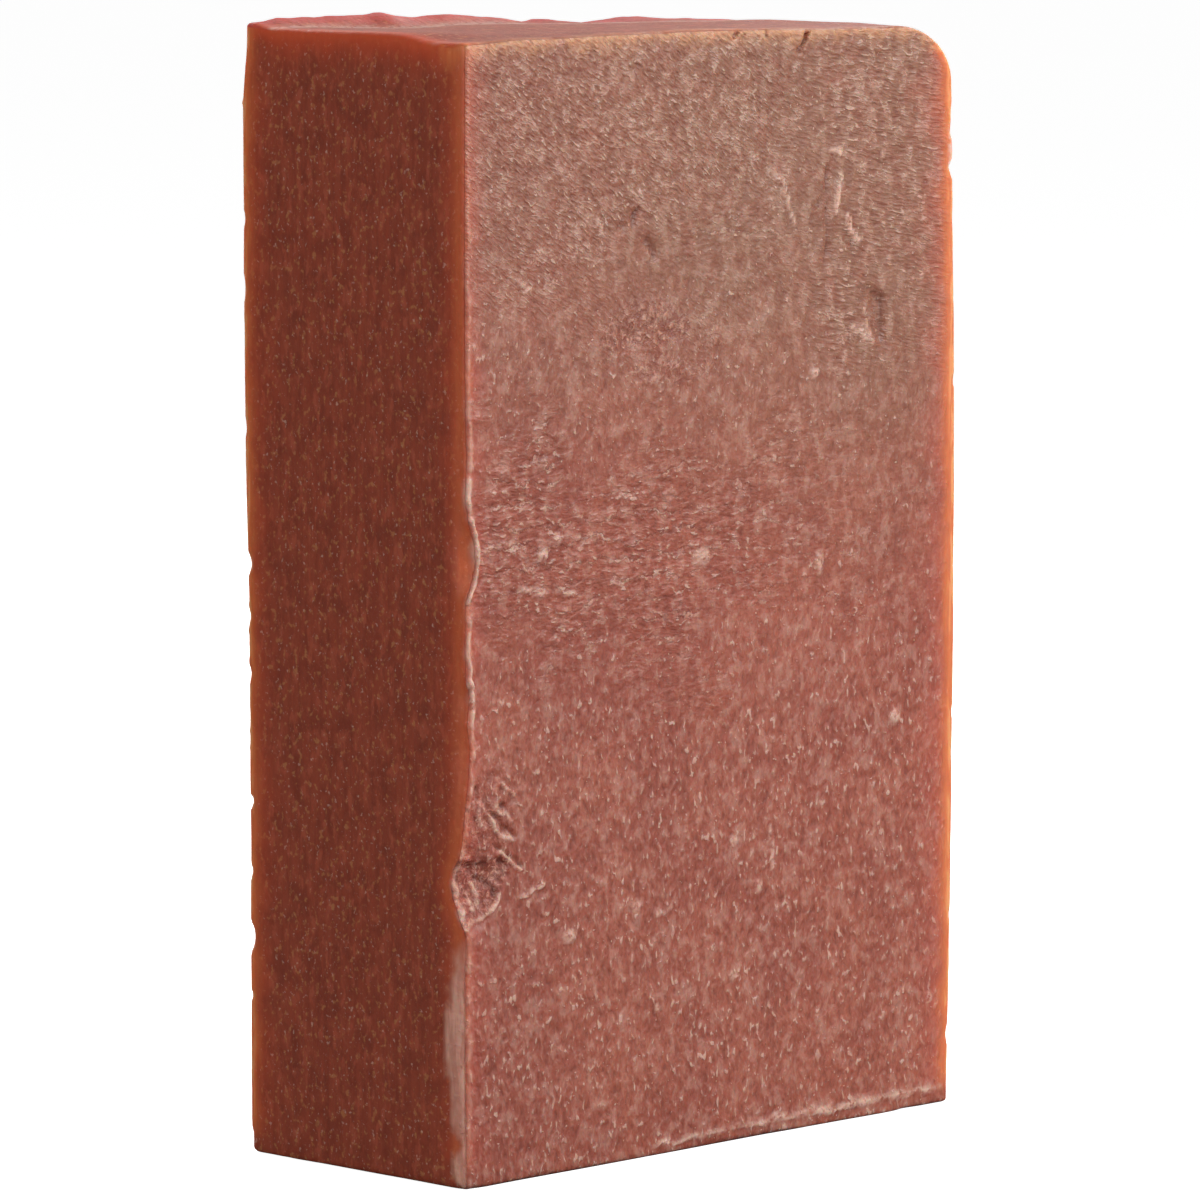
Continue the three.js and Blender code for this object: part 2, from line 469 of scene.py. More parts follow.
SCARS = (
    ([(13.3, 79.2), (14.3, 78.9)], 0.4, 0.26),
    ([(14.4, 77), (14.1, 75.4), (13.8, 74.4)], 0.36, 0.24),
    ([(12.8, 78.2), (12.9, 75), (12.7, 71.5), (12.5, 70)], 0.32, -0.22),
    ([(15.3, 73.6), (15.5, 72.6), (16.7, 71.9)], 0.36, 0.26),
    ([(15.9, 72.1), (15.8, 71.3)], 0.4, -0.22),
    ([(6.5, 77.9), (7.3, 76.8), (8.1, 75.2), (8.7, 73.6)], 0.36, 0.2),
    ([(11.9, 75.4), (11.8, 74.8)], 0.32, -0.25),
    ([(16.7, 68.4), (17.9, 67.6), (19.3, 66.6)], 0.3, -0.14),
    ([(15.3, 64.8), (16.9, 64.5), (18, 63.4)], 0.34, 0.2),
    ([(16.9, 66.6), (17.3, 65.4), (17.9, 64)], 0.3, 0.16),
    ([(-9.3, 75.4), (-9.7, 74.4)], 0.46, -0.42),
    ([(-11.2, 74.3), (-10.8, 73.8)], 0.36, -0.18),
    ([(-8.1, 73), (-7.5, 71.8)], 0.55, -0.34),
    ([(-13.7, 74.8), (-13.4, 73.8)], 0.3, 0.12),
    ([(-23.1, 70.4), (-21.7, 70), (-21.1, 69.7)], 0.26, 0.14),
    ([(-22.3, 46.7), (-20.3, 46.3), (-19.1, 45.9)], 0.3, 0.16),
    ([(-18.3, 46.1), (-16.9, 45.8), (-15.3, 45.5)], 0.26, 0.12),
    ([(-17.2, 50.3), (-15.3, 50), (-13.7, 49.8)], 0.28, 0.14),
    ([(-24.9, 50.4), (-23.3, 49.9)], 0.34, 0.16),
    ([(-13.3, 51.9), (-12.1, 51.4)], 0.28, 0.12),
    ([(-16.7, 52.3), (-15.3, 51.8)], 0.26, 0.1),
    ([(-18.7, 42.6), (-17.9, 41.8)], 0.22, 0.1),
    ([(-7.9, 61.8), (-7.2, 61.9), (-6.7, 61.2)], 0.28, 0.14),
    ([(-7.3, 19.4), (-6.1, 19.5), (-5.3, 20)], 0.26, 0.14),
    ([(6.2, 25), (6.3, 23), (6.5, 21.8)], 0.3, 0.12),
)
TOP_EDGE_CRACKS = (
    ([(10.5, 88.8), (10.1, 88), (9.5, 87.1)], 0.26, -0.55),
    ([(2.1, 88.9), (1.8, 88.4)], 0.4, -0.4),
    ([(3, 88.5), (2.8, 88.1)], 0.3, -0.26),
    ([(4.6, 88.4), (4.4, 88)], 0.26, -0.22),
    ([(5.8, 88.9), (5.7, 88.5)], 0.24, -0.24),
)
BOTTOM_BURR = (
    ([(-7.3, 0.9), (-0.3, 1), (6.7, 1.2)], 0.34, 0.12),
    ([(6.7, 1.3), (12.7, 1.2), (18.7, 1.4), (24.7, 1.3), (27.1, 1.2)], 0.42, 0.18),
)
# Each nub is (centre, half lengths, height): a lump stands up, a pit goes in.
NUBS = (
    ((11.2, 61.4), (0.5, 0.4), 0.25),
    ((-19.8, 49.1), (0.6, 0.55), 0.32),
    ((-18.3, 50.2), (0.6, 0.45), 0.22),
    ((-1.8, 47.6), (1.2, 0.9), 0.16),
    ((11.8, 45.9), (0.5, 1), 0.16),
    ((21, 32.7), (0.75, 0.7), 0.2),
    ((-17, 18.8), (0.75, 0.6), 0.22),
    ((-9.4, 20.4), (0.6, 0.45), 0.16),
    ((2, 24.5), (0.45, 0.45), 0.18),
    ((2.1, 23.1), (0.4, 0.4), 0.16),
    ((4.8, 20.4), (0.45, 0.55), 0.2),
    ((2, 13.5), (0.6, 0.5), 0.16),
    ((-7, 11.9), (0.36, 0.36), 0.18),
    ((25.6, 9), (0.4, 0.6), 0.18),
    ((-28, 39.6), (0.5, 0.45), 0.24),
    ((-28.1, 38.2), (0.45, 0.5), 0.26),
    ((19.6, 78.6), (0.3, 0.5), 0.12),
    ((5.3, 21.5), (0.3, 0.35), -0.2),
)


def add_strokes(x, z, strokes):
    """Height of a group of ridges and scratches, which wander and break off; the stronger counts."""
    up, down = np.zeros(len(x)), np.zeros(len(x))
    sway_x = x + 0.2 * noise(x / 0.9, z / 0.9, 12)
    sway_z = z + 0.2 * noise(x / 0.9, z / 0.9, 13)
    ragged = 1 + 0.4 * noise(x / 0.5, z / 0.5, 11)
    worn = mix(0.6, 1.3, rise(noise(x / 0.8, z / 0.8, 14), -0.7, 0.5))
    for points, half_width, height in strokes:
        mark = height * worn * (1 - rise(line_distance(sway_x, sway_z, points), 0, half_width * ragged))
        up, down = np.maximum(up, mark), np.minimum(down, mark)
    return up + down


def torn_face(x, z):
    """1 where the face above the chip was torn, 0 away from there."""
    return spot(x, z, (-25.9, 29.2), (3.4, 4.6), -30, 0.5)


def chip_depth(x, z):
    """How far the front face is broken back beside the front left edge."""
    hollow = patch(x, z, CHIP_HOLLOW, 0.7) * rise(x, -22, -25)
    edge = along_edge(z, BROKEN)
    slope = edge * rise(x, -24.5, -27.8) * rise(z, 19, 20.5)
    return np.maximum(hollow * mix(0.3, edge, rise(x, -24, -28)), slope)


def chip_relief(x, z):
    """The pebbled floor of the chip and the torn face above it."""
    hollow = patch(x, z, CHIP_HOLLOW, 0.5)
    pebbles = rough(x / 0.62, z / 0.55, 21)
    deepest = spot(x, z, (-24.9, 24.3), (1.3, 0.9), 30)
    torn = 0.14 * rough(x / 0.8, z / 0.7, 23) - 0.05
    return hollow * (0.24 * pebbles - 0.2 * deepest) + torn_face(x, z) * torn


INSET_REACH = 5  # how far in along x the front face follows its left edge
BREAK_FOOT = -5  # the y up to which the left side follows that edge back


def break_front_left_edge(points):
    """Draws the front left edge in and back to its stated places, with the faces beside it."""
    x, y, z = points.T.copy()
    near = (1 - (x + HALF_WIDTH) / INSET_REACH).clip(0, 1)
    points[:, 0] += along_edge(z, INSET) * near * rise(y, -HALF_THICKNESS + 1.6, -HALF_THICKNESS)
    worn = along_edge(z, BROKEN) * rise(x, -26, -28) * rise(z, 21, 19)
    depth = np.maximum(chip_depth(x, z), worn)
    points[:, 1] += depth * ((BREAK_FOOT - y) / (HALF_THICKNESS + BREAK_FOOT)).clip(0, 1)


BURR_HEIGHT = 0.2  # how far the burr stands out where its share is 1


def burr_share(source):
    """1 on the burr along the front left edge, 0 away from it."""
    x, y, z = source.T
    sway = 0.16 * noise(z / 1.1, 0 * z, 27)
    width = 0.27 + 0.1 * noise(z / 0.7, 0 * z, 28)
    away = np.hypot(x + HALF_WIDTH - 0.36 - sway, y + HALF_THICKNESS)
    crumbs = mix(0.25, 1.2, rise(noise(z / 0.6, x / 0.9, 29), -0.7, 0.4))
    return np.exp(-((away / width) ** 2)) * along_edge(z, BURR) * crumbs


def zones(x, z):
    """How much a place has of each texture: slanted grain, wisps, sideways tears, upright streaks."""
    wander = 5 * noise(x / 7, z / 7, 31) + 3 * noise(x / 2.4, z / 2.4, 32)
    upper = rise(z + wander + 0.1 * x, 56, 74)
    drag_middle = rise(z + wander, 36, 46) * rise(z + wander, 64, 52) * mix(0.3, 1, rise(x, 24, -8))
    drag_high = 0.75 * spot(x, z + 0.5 * wander, (1, 72.5), (16, 5.5), 6, 0.8)
    drag = np.clip(np.maximum(drag_middle * (1 - upper), drag_high), 0, 1)
    upper = upper * (1 - drag)
    right = rise(x + wander, 4, 18)
    return upper * (1 - right), upper * right, drag, np.clip(1 - upper - drag, 0, 1)


def bloom_and_painted_sheen(x, z):
    """The paler, tan bloom over the upper part of the cut faces: partly the soap's own bloom, partly a
    painted sheen of the light from above.
    """
    wander = 4 * noise(x / 9, z / 9, 33)
    return rise(z + wander + 0.22 * x, 44, 74) * mix(0.7, 1, rise(x, -26, 4))


def rough_patch(x, z):
    """Where the soap tore in little pits, above the middle."""
    where = spot(x, z, (-6.4, 64.9), (7.4, 3.6), -8, 0.5)
    return where * rise(noise(x / 2.2, z / 2, 37), -0.7, 0.4)


FLAP = ((17.1, 68.4), (19.6, 67.2), (19.7, 63.2), (18.9, 63.6), (17.7, 65))


def sunken_flap(x, z):
    """1 in the three-cornered dent near the right edge, 0 outside it."""
    return patch(x, z, FLAP, 0.5)


def front_relief(x, z):
    """Height of the front face, outwards from its flat."""
    slant, wisp, drag, streak = zones(x, z)
    swell = 0.07 * noise(x / 13, z / 16, 41) + 0.035 * noise(x / 4.5, z / 5, 42)
    fine = 0.05 * (slant * grain(x, z, -30, 2.1, 0.6, 43) + wisp * grain(x, z, -9, 2.8, 0.6, 44))
    torn = grain(x, z, -7, 2.6, 0.6, 45)
    dragged = drag * (0.04 * torn + 0.12 * rise(torn, 0.3, 0.75))
    combed = 0.04 * streak * grain(x, z, 90, 1.5, 0.6, 47)
    pits = rough_patch(x, z) * (0.2 * rough(x / 0.85, z / 0.7, 49) - 0.07)
    scarred = add_strokes(x, z, SCARS + BOTTOM_BURR + CHIP_RIDGES)
    cut = add_strokes(x, z, CHIP_GROOVES + TOP_EDGE_CRACKS)
    nubs = sum(height * spot(x, z, centre, reach) for centre, reach, height in NUBS)
    flap = -0.38 * sunken_flap(x, z) * rise(x, 16.8, 19.2)
    return swell + fine + dragged + combed + pits + scarred + cut + nubs + flap + chip_relief(x, z)


# ---------------------------------------------------------------- marks on the other faces


def side_relief(y, z, seed):
    """Height of a narrow side, which the mould left smooth, with faint upright lines."""
    swell = 0.05 * noise(y / 8, z / 14, seed) + 0.02 * noise(y / 3, z / 4, seed + 1)
    return swell + 0.012 * grain(y, z, 90, 6, 0.8, seed + 2)


NICK = ((3, 22.3), (0.4, 22.4), (-0.2, 18.6), (1, 19.2), (3, 20.6))  # its outline, in y and z
NICK_LIPS = (
    ([(3, 20.6), (1, 19.2)], 0.3, 0.1),
    ([(0.1, 20), (-0.2, 18.4)], 0.3, 0.14),
)


def left_relief(y, z):
    """Height of the left side, which has one nick."""
    nick = -0.14 * patch(y, z, NICK, 0.35)
    return side_relief(y, z, 61) + nick + add_strokes(y, z, NICK_LIPS)


def back_relief(x, z):
    """Height of the back face: cut by the same wire, with straighter drag marks."""
    swell = 0.07 * noise(x / 12, z / 15, 71) + 0.03 * noise(x / 4, z / 5, 72)
    torn = grain(x, z, 4, 3.2, 0.7, 73)
    return swell + 0.03 * torn + 0.09 * rise(torn, 0.45, 0.8) * rise(noise(x / 9, z / 9, 75), 0, 0.5)


def end_relief(x, y):
    """Height of the top end's own texture."""
    return 0.03 * noise(x / 4, y / 4, 91) + 0.015 * grain(x, y, 3, 4, 0.6, 92)


EDGE_NICKS = (  # places up the back left edge where it is nicked: (z, half length, depth)
    (47.2, 0.9, 0.3), (43, 0.6, 0.14), (38.4, 0.7, 0.16), (28.2, 0.6, 0.3), (22.6, 0.6, 0.18),
    (17.3, 1.3, 0.42), (12.6, 0.5, 0.14), (74.5, 0.7, 0.12), (69, 1.2, 0.12), (58, 0.8, 0.1),
)  # fmt: skip


def nick_edges(points, source):
    """Breaks small nicks out of the edges: the ones that show, and scattered ones elsewhere."""
    x, y, z = source.T
    gaps = np.array([HALF_WIDTH - np.abs(x), HALF_THICKNESS - np.abs(y), np.minimum(z, END_PLANE - z)])
    closeness = rise(np.sort(gaps, axis=0)[1], 0.9, 0)
    along = x + y * 1.3 + z
    scattered = 0.14 * rise(noise(along / 1.7, (x - y) / 40, 81), 0.45, 0.95)
    scattered *= 1 - rise(x, 0, -20) * rise(z, 2, 6)
    placed = np.zeros(len(points))
    for height, half_length, depth in EDGE_NICKS:
        placed += depth * np.clip(1 - ((z - height) / half_length) ** 2, 0, 1)
    placed *= (x < 0) & (y > 0)
    middle = np.array([0, 0, END_PLANE / 2])
    inwards = (middle - points) * np.array([1, 1, 0.3])
    inwards /= np.linalg.norm(inwards, axis=1)[:, None]
    points += inwards * ((scattered + placed) * closeness)[:, None]


def crumbled_edge(source):
    """1 on the crumbled stretch high up on the front right edge."""
    x, y, z = source.T
    border = 0.9 + 0.3 * noise(z / 0.7, y / 0.7, 82)
    away = np.hypot(HALF_WIDTH - x, y + HALF_THICKNESS)
    return rise(z, 76.6, 77.4) * rise(z, 80.8, 79.8) * rise(away, border, border - 0.5)


def chip_right_edge(points, source):
    """Roughens that stretch, and cuts the notch at its foot."""
    x, y, z = source.T
    notch = spot(z, y, (76.9, -12.5), (0.7, 3)) * rise(x, 27, 27.9)
    points[:, 0] -= (0.14 + 0.2 * noise(y / 0.6, z / 0.6, 83)) * crumbled_edge(source) + 0.25 * notch


def shape_bar(source):
    """The finished places of mesh points that lie on the plain box."""
    points, out = wear_edges(source)
    x, y, z = points.T.copy()
    left, right, front, back, top = (
        rise(sign * out[:, axis], 0.55, 0.95)
        for sign, axis in ((-1, X), (1, X), (-1, Y), (1, Y), (1, Z))
    )
    height = left * left_relief(y, z) + right * side_relief(y, z, 65)
    height += front * front_relief(x, z) + back * back_relief(x, z) + top * end_relief(x, y)
    height += BURR_HEIGHT * burr_share(source)
    points += out * height[:, None]
    break_front_left_edge(points)
    nick_edges(points, source)
    chip_right_edge(points, source)
    round_corner(points)
    shape_top_end(points)
    bow_sides(points)
    return points


def keep_in_box(points):
    """Fits the finished points exactly into the CAD solid's box."""
    low, high = points.min(0), points.max(0)
    return LOW + (points - low) * (HIGH - LOW) / (high - low)


# ---------------------------------------------------------------- what the material reads

# Light soaks through the bar's thin edges and comes out orange, and red further in; that light is
# painted into the base colour here, over the material's own subsurface light. Each line is the two axes
# the edge lies across, where it lies on them, how wide the orange is, and how strong the orange and the
# red are.
GLOWING_EDGES = (
    (X, HALF_WIDTH, Y, -HALF_THICKNESS, 1.3, 1.0, 1.0),
    (X, HALF_WIDTH, Y, HALF_THICKNESS, 1.0, 0.9, 1.0),
    (X, -HALF_WIDTH, Y, HALF_THICKNESS, 1.0, 1.0, 1.0),
    (X, -HALF_WIDTH, Y, -HALF_THICKNESS + 0.6, 0.7, 0.4, 0.9),
    (Y, HALF_THICKNESS, Z, END_PLANE, 0.8, 0.4, 0.4),
    (X, -HALF_WIDTH, Z, END_PLANE - 0.2, 0.75, 0.15, 1.5),
    (X, HALF_WIDTH, Z, END_PLANE, 0.8, 0.5, 0.8),
)


def edge_light(source):
    """The painted orange and red of the thin edges, standing in for light through them: strongest at an
    edge, 0 well inside it.
    """
    x, y, z = source.T
    uneven = 1 + 0.25 * noise(x / 3 + y / 2, z / 3, 101) + 0.15 * noise(x - y, z / 0.9, 102)
    uneven *= mix(1, 0.6, rise(z, END_PLANE - 6, END_PLANE - 2) * rise(x, 18, 24))
    orange, red = np.zeros(len(source)), np.zeros(len(source))
    for first, place, second, other, width, orange_strength, red_strength in GLOWING_EDGES:
        away = np.hypot(source[:, first] - place, source[:, second] - other) / (width * uneven)
        orange = np.maximum(orange, orange_strength * np.exp(-(away**2.4)))
        red = np.maximum(red, red_strength * np.exp(-((away / 2.2) ** 1.9)))
    # The worn top front left corner is thin too: the light through it is painted amber-orange.
    worn_corner_glow = spot(y, z, (-11.4, END_PLANE - 0.3), (3.2, 2.2)) * (x < -HALF_WIDTH + ON_FACE)
    orange = np.maximum(orange, 0.85 * worn_corner_glow * rise(noise(y / 0.5, z / 0.9, 104), -0.5, 0.4))
    foot = rise(z, 0.3, 3)
    return orange * foot, red * foot


def scraped_edge(source):
    """1 on the band of the left side where the lower front left edge was scraped."""
    x, y, z = source.T
    ragged = 0.5 * noise(z / 1.7, 0 * z, 103) + 0.25 * noise(z / 0.6, y / 0.6, 107)
    border = -HALF_THICKNESS + mix(1.0, 1.8, rise(z, 3, 13)) * rise(z, 22, 15) + ragged
    on_left = rise(x, -HALF_WIDTH + 0.1, -HALF_WIDTH)
    return rise(y, border + 0.35, border - 0.35) * on_left * rise(z, 21.5, 15)


def surface_masks(source):
    """Named shares from 0 to 1 that tell the material what each place is, and where it paints light and
    shade into the colour.
    """
    x, y, z = source.T
    cut = (np.abs(y) > HALF_THICKNESS - ON_FACE).astype(float)
    front = y < -HALF_THICKNESS + ON_FACE
    top = z > END_PLANE - ON_FACE
    slant, wisp, drag, streak = (share * cut for share in zones(x, z))
    scraped = scraped_edge(source)
    orange, red = edge_light(source)
    fringe = 0.95 + 0.45 * noise(x / 0.7, z / 1.5, 105) + 0.4 * noise(x / 3, 0 * x, 106)
    from_rim = np.hypot(y + HALF_THICKNESS, z - END_PLANE)
    # Painted glow: the tan-orange of light through the top front edge, in a ragged band along it.
    rim = np.exp(-((from_rim / fringe) ** 2)) * rise(z, END_PLANE - 3, END_PLANE - 1)
    ridge = ridge_share(x, y) * (z > END_PLANE - 0.3)
    # Painted highlight: the pale line where the ridge rises from the top end and its rounded foot
    # catches the light.
    ridge_foot_highlight = np.exp(-(((y - np.interp(x, *np.array(RIDGE_FOOT).T)) / 0.8) ** 2)) * top
    strokes = SCARS + BOTTOM_BURR + CHIP_RIDGES
    ridges = add_strokes(x, z, strokes) / 0.18
    lumps = sum(
        height / 0.2 * spot(x, z, centre, reach, 0, 0.7) for centre, reach, height in NUBS if height > 0
    )
    # Pale on the ridges, lumps and crumbled edge: partly paler soap, partly painted highlights on their
    # crests.
    pale = np.maximum(ridges, lumps) * front + 0.7 * ridge_foot_highlight + crumbled_edge(source)
    grooves = -add_strokes(x, z, CHIP_GROOVES + TOP_EDGE_CRACKS + SCARS) / 0.3
    torn = np.maximum.reduce([rough_patch(x, z), patch(x, z, CHIP_HOLLOW, 0.5), 0.6 * torn_face(x, z)])
    sunk = 0.6 * sunken_flap(x, z) * rise(x, 17.2, 19.2)
    return {
        "slant": slant,
        "wisp": wisp,
        "drag": drag,
        "streak": streak + scraped,
        "bloom_sheen": bloom_and_painted_sheen(x, z) * cut,
        # painted glow of light through the thin edges: orange at them, red further in
        "glow": orange * (1 - scraped),
        "red_glow": red,
        "rim": rim,
        "ridge": ridge,
        "mauve": top * (1 - ridge),
        "pale": np.clip(pale, 0, 1),
        "scraped": scraped,
        "burr": np.clip(1.1 * burr_share(source), 0, 1),
        "torn": torn * front,
        # painted shade in the grooves, cracks and the sunken flap
        "groove_shade": np.clip(np.maximum(grooves, sunk), 0, 1) * front,
    }


def build_bar(material):
    bm = grid_box()
    refine(bm, on_front)
    refine(bm, near_front_left_edge)
    refine(bm, near_back_left_edge)
    refine(bm, near_top_cracks)
    mesh = bpy.data.meshes.new("soap_cake")
    bm.to_mesh(mesh)
    bm.free()
    source = np.empty(len(mesh.vertices) * 3)
    mesh.vertices.foreach_get("co", source)
    source = source.reshape(-1, 3)
    shaped = keep_in_box(shape_bar(source)) * MM
    mesh.vertices.foreach_set("co", shaped.ravel())
    for name, share in surface_masks(source).items():
        attribute = mesh.attributes.new(name, "FLOAT", "POINT")
        attribute.data.foreach_set("value", share.astype(np.float32))
    mesh.polygons.foreach_set("use_smooth", np.ones(len(mesh.polygons), bool))
    mesh.materials.append(material)
    mesh.update()
    bar = bpy.data.objects.new("soap_cake", mesh)
    bpy.context.scene.collection.objects.link(bar)
    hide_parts("clay_bar")
    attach(bar, "root")


# ---------------------------------------------------------------- the soap's material


class Nodes:
    """Short ways to add and join shader nodes in one material."""

    def __init__(self, name):
        self.material = bpy.data.materials.new(name)
        self.material.use_nodes = True
        self.tree = self.material.node_tree
        self.shader = self.tree.nodes["Principled BSDF"]

    def add(self, kind, **settings):
        node = self.tree.nodes.new(kind)
        for key, value in settings.items():
            setattr(node, key, value)
        return node

    def put(self, socket, value):
        """Joins value to a socket if it is another node's socket, or sets it there."""
        if isinstance(value, bpy.types.NodeSocket):
            self.tree.links.new(value, socket)
        else:
            socket.default_value = value

    def share(self, name):
        return self.add("ShaderNodeAttribute", attribute_name=name).outputs["Fac"]

    def math(self, operation, a, b=0.0, clamp=False):
        node = self.add("ShaderNodeMath", operation=operation, use_clamp=clamp)
        self.put(node.inputs[0], a)
        self.put(node.inputs[1], b)
        return node.outputs["Value"]

    def times(self, *values):
        return reduce(lambda a, b: self.math("MULTIPLY", a, b), values)

    def total(self, *values):
        return reduce(lambda a, b: self.math("ADD", a, b), values)

    def most(self, *values):
        return reduce(lambda a, b: self.math("MAXIMUM", a, b), values)

    def stretched(self, place, turn, scale):
        """The place, turned about y by turn degrees and then scaled."""
        node = self.add("ShaderNodeMapping", vector_type="POINT")
        node.inputs["Rotation"].default_value = (0, math.radians(turn), 0)
        turned = self.add("ShaderNodeMapping", vector_type="POINT")
        turned.inputs["Scale"].default_value = scale
        self.put(node.inputs["Vector"], place)
        self.put(turned.inputs["Vector"], node.outputs["Vector"])
        return turned.outputs["Vector"]

    def bent(self, place, scale, reach):
        """The place, shifted by smooth noise of that scale, up to about half of reach each way."""
        wander = self.add("ShaderNodeTexNoise")
        self.put(wander.inputs["Vector"], place)
        wander.inputs["Scale"].default_value = scale
        wander.inputs["Detail"].default_value = 1.0
        node = self.add("ShaderNodeVectorMath", operation="MULTIPLY_ADD")
        self.put(node.inputs[0], wander.outputs["Color"])
        node.inputs[1].default_value = (reach, reach, reach)
        self.put(node.inputs[2], place)
        return node.outputs["Vector"]

    def noise(self, place, scale=1.0, detail=3.0, roughness=0.55, distortion=0.0):
        node = self.add("ShaderNodeTexNoise")
        self.put(node.inputs["Vector"], place)
        node.inputs["Scale"].default_value = scale
        node.inputs["Detail"].default_value = detail
        node.inputs["Roughness"].default_value = roughness
        node.inputs["Distortion"].default_value = distortion
        return node.outputs["Fac"]

    def band(self, value, low, high, to_low=0.0, to_high=1.0):
        """The value's place between low and high, as a smooth step to new limits."""
        node = self.add("ShaderNodeMapRange", interpolation_type="SMOOTHSTEP")
        self.put(node.inputs["Value"], value)
        node.inputs["From Min"].default_value = low
        node.inputs["From Max"].default_value = high
        node.inputs["To Min"].default_value = to_low
        node.inputs["To Max"].default_value = to_high
        return node.outputs["Result"]

    def blend(self, share, first, second):
        """The first colour where share is 0, the second where it is 1."""
        node = self.add("ShaderNodeMix", data_type="RGBA")
        self.put(node.inputs[0], share)
        self.put(node.inputs[6], first)
        self.put(node.inputs[7], second)
        return node.outputs[2]


def colour(red, green, blue):
    return (red, green, blue, 1.0)


CLAY = colour(0.45, 0.125, 0.079)
CLAY_DEEP = colour(0.385, 0.096, 0.062)
# Partly the soap's bloom, partly painted sheen.
CLAY_BLOOM_SHEEN = colour(0.345, 0.152, 0.094)
SIDE = colour(0.43, 0.080, 0.038)
SIDE_LIGHT = colour(0.56, 0.120, 0.062)
SIDE_DARK = colour(0.26, 0.044, 0.022)
MAUVE = colour(0.34, 0.090, 0.080)
MAUVE_LINE = colour(0.48, 0.075, 0.070)
RIDGE_PINK = colour(0.70, 0.100, 0.090)
PALE = colour(0.90, 0.60, 0.48)
# Painted glow: the orange and amber of light through the thin edges, painted into the base colour.
GLOW_ORANGE = colour(0.90, 0.26, 0.080)
GLOW_AMBER = colour(0.98, 0.47, 0.20)
# The scraped strip: partly paler scraped clay, partly painted sheen where its bevel faces the key
# light.
SCRAPED_SHEEN = colour(1.0, 0.53, 0.39)
# Painted glow: the red of light further in from the thin edges, on the cut faces and on the sides.
GLOW_RED = colour(0.66, 0.130, 0.088)
SIDE_GLOW_RED = colour(0.80, 0.105, 0.036)
BROWN = colour(0.17, 0.034, 0.020)
# Painted shade and highlight of the torn crumbs.
TORN_SHADE = colour(0.25, 0.055, 0.038)
TORN_CRUMBS_AND_HIGHLIGHT = colour(0.80, 0.40, 0.30)
TAN = colour(0.64, 0.26, 0.10)
# Painted light through the top front edge.
RIM_GLOW = colour(0.82, 0.42, 0.22)

# The torn grain of the cut faces: the share it belongs to, its tilt in degrees, and how finely it
# is packed along each axis.
GRAINS = (
    ("slant", -32, (1.4, 1, 3.5)),
    ("wisp", -11, (0.9, 1, 3.4)),
    ("drag", -4, (1.2, 1, 2.4)),
    ("streak", 0, (2.3, 1, 1.25)),
)


def cut_grain(n, place):
    """The grain of the cut faces, mixed by their shares, and the share of them all together."""
    grain, cut = 0.0, 0.0
    for name, tilt, scale in GRAINS:
        share = n.share(name)
        layer = n.noise(n.stretched(place, tilt, scale), detail=1.6, roughness=0.5)
        grain = n.total(n.times(layer, share), grain)
        cut = n.math("ADD", share, cut, clamp=True)
    return grain, cut


def creases(n, place):
    """Thin curved creases: 1 on each and 0 between them, high up on the cut faces."""
    sheet = n.noise(n.stretched(place, -16, (0.45, 1, 1.2)), detail=2, roughness=0.6)
    off_level = n.math("ABSOLUTE", n.math("SUBTRACT", sheet, 0.5))
    upper = n.total(n.share("slant"), n.share("wisp"))
    return n.times(n.band(off_level, 0.05, 0.0), upper)


def ledges(n, place):
    """Sideways tears: rises from 0 to 1 up each small sheet of soap, then drops suddenly."""
    axes = n.add("ShaderNodeSeparateXYZ")
    n.put(axes.inputs["Vector"], place)
    ragged = n.noise(n.stretched(place, 0, (0.4, 1, 0.6)), detail=4, roughness=0.6)
    climb = n.times(axes.outputs["Z"], 0.6)
    return n.math("FRACT", n.total(climb, n.times(ragged, 2.2)))


def textures(n):
    """The noises that several parts of the material share, over places in millimetres."""
    coordinates = n.add("ShaderNodeTexCoord").outputs["Object"]
    place = n.stretched(coordinates, 0, (1 / MM, 1 / MM, 1 / MM))
    crooked = n.bent(place, 0.7, 0.4)
    grain, cut = cut_grain(n, crooked)
    return SimpleNamespace(
        place=place,
        cut=cut,
        grain=grain,
        crease=creases(n, crooked),
        ledge=ledges(n, place),
        patchy=n.noise(place, 0.5, 4, 0.6),
        mottle=n.noise(n.stretched(place, 0, (1.0, 1.0, 0.75)), detail=3, roughness=0.55),
        specks=n.noise(place, 2.6, 1),
        streaks=n.noise(n.stretched(place, 0, (2.2, 2.2, 0.25)), detail=3),
        crumbs=n.noise(place, 2.0, 3, 0.6, 0.6),
    )


def pale_flecks_and_glints(n, soap):
    """Pale marks: specks of pale clay, and painted highlights on the peaks of the grain, the lips of
    the tears and the creases.
    """
    clusters = n.band(soap.patchy, 0.40, 0.58, 0.25, 1.0)
    peaks = n.times(n.band(soap.grain, 0.60, 0.66, 0, 0.6), clusters)
    gaps = n.band(soap.mottle, 0.46, 0.56, 0.15, 1.0)
    lips = n.times(n.band(soap.ledge, 0.76, 0.97, 0, 0.6), n.share("drag"), clusters, gaps)
    specks = n.times(n.band(soap.specks, 0.70, 0.76, 0, 0.55), soap.cut)
    folds = n.times(soap.crease, n.band(soap.mottle, 0.46, 0.60, 0, 0.45))
    return n.most(peaks, lips, specks, folds)


def light_marks_and_highlights(n, soap, flecks_and_glints):
    """The paler blotches of the clay, a painted highlight on the peaks of the grain, and the pale fleck
    marks with their painted glints.
    """
    blotches = n.band(soap.mottle, 0.49, 0.66, 0, 0.17)
    peaks = n.band(soap.grain, 0.48, 0.62, 0, 0.08)
    return n.most(n.total(blotches, peaks), flecks_and_glints)


